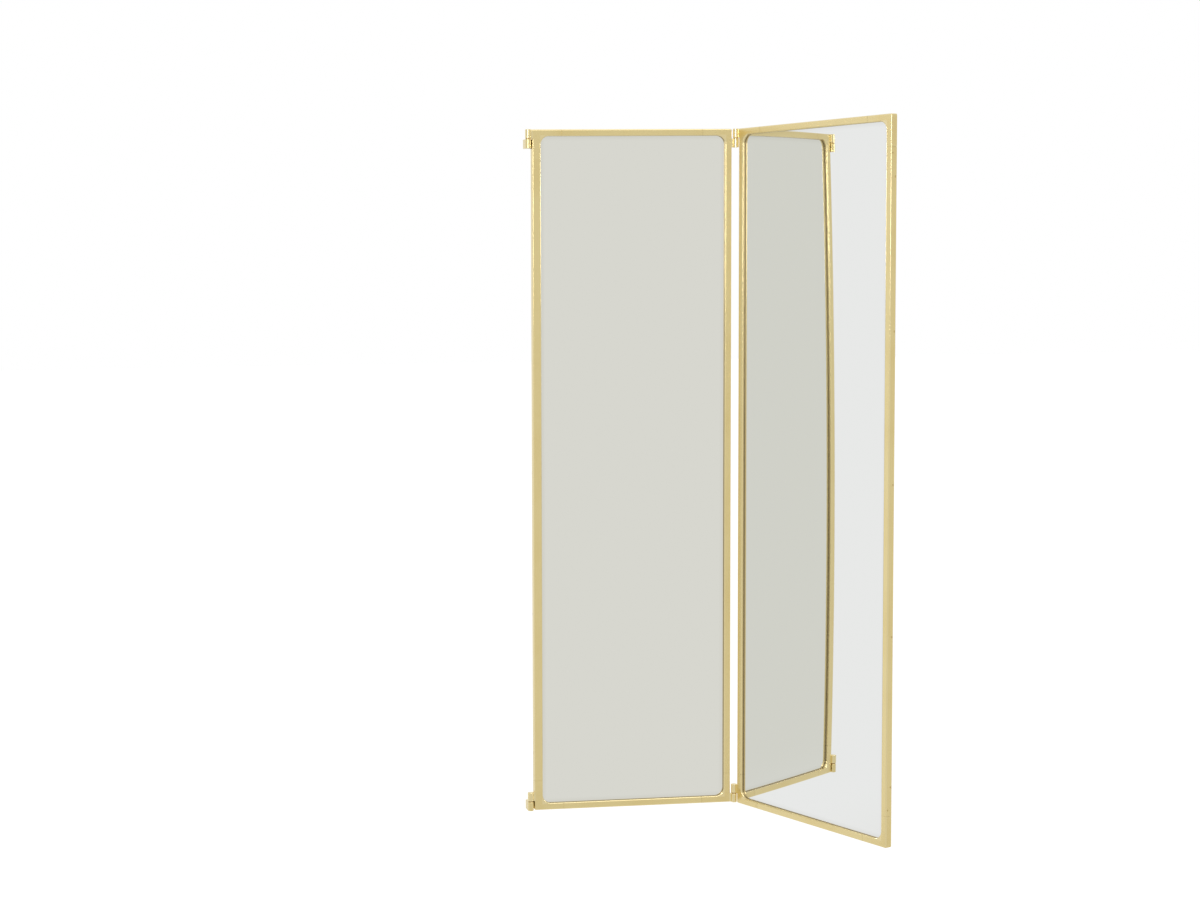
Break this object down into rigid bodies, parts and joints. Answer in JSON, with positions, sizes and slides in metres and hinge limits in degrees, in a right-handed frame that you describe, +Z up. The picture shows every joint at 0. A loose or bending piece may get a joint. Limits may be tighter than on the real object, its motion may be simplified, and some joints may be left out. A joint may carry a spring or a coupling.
{
  "type": "wall mirror",
  "caption": "Tall folding wall mirror: brass-framed mirror leaves on lift-off hinges, hung from screw-on wall brackets.",
  "frame": {"origin": "on the wall, at the centre of the lower bracket's four screw holes", "axes": "+X along the wall to the right, +Y into the wall, +Z up"},
  "size_m": [0.6661, 0.4437, 1.5],
  "materials": {
    "brass_section": "polished brass section, softly worn",
    "brass_casting": "satin brass casting",
    "mirror_glass": "silvered float glass with eased edges",
    "tape": "matte foam glazing tape",
    "card": "plain millboard",
    "board": "stained and waxed plywood",
    "brass_screw": "turned brass",
    "steel_pin": "ground steel",
    "bronze_washer": "plain bronze"
  },
  "bodies": {
    "wall_brackets": {"lower_wall_bracket": "brass_casting", "lower_wall_hinge_pin": "steel_pin", "upper_wall_bracket": "brass_casting", "upper_wall_hinge_pin": "steel_pin", "wall_hinge_washers": "bronze_washer"},
    "inner_leaf": {"inner_leaf_left_stile": "brass_section", "inner_leaf_right_stile": "brass_section", "inner_leaf_bottom_rail": "brass_section", "inner_leaf_top_rail": "brass_section", "inner_leaf_bottom_left_corner": "brass_casting", "inner_leaf_bottom_right_corner": "brass_casting", "inner_leaf_top_left_corner": "brass_casting", "inner_leaf_top_right_corner": "brass_casting", "inner_leaf_glazing_tape": "tape", "inner_leaf_glass": "mirror_glass", "inner_leaf_backing_card": "card", "inner_leaf_back_board": "board", "inner_leaf_tongue_screws": "brass_screw", "inner_leaf_board_screws": "brass_screw", "lower_leaf_hinge_pin": "steel_pin", "upper_leaf_hinge_pin": "steel_pin", "leaf_hinge_washers": "bronze_washer"},
    "outer_leaf": {"outer_leaf_left_stile": "brass_section", "outer_leaf_right_stile": "brass_section", "outer_leaf_bottom_rail": "brass_section", "outer_leaf_top_rail": "brass_section", "outer_leaf_bottom_left_corner": "brass_casting", "outer_leaf_bottom_right_corner": "brass_casting", "outer_leaf_top_left_corner": "brass_casting", "outer_leaf_top_right_corner": "brass_casting", "outer_leaf_glazing_tape": "tape", "outer_leaf_glass": "mirror_glass", "outer_leaf_backing_card": "card", "outer_leaf_back_board": "board", "outer_leaf_tongue_screws": "brass_screw", "outer_leaf_board_screws": "brass_screw"}
  },
  "joints": [
    {"name": "wall_hinge", "type": "hinge", "parent": "wall_brackets", "child": "inner_leaf", "pos_m": [-0.041, -0.023, 0], "axis": [0, 0, -1], "range_deg": [0, 90]},
    {"name": "leaf_hinge", "type": "hinge", "parent": "inner_leaf", "child": "outer_leaf", "pos_m": [0.425, -0.023, 0], "axis": [0, 0, -1], "range_deg": [-66.9, 111.1]}
  ]
}
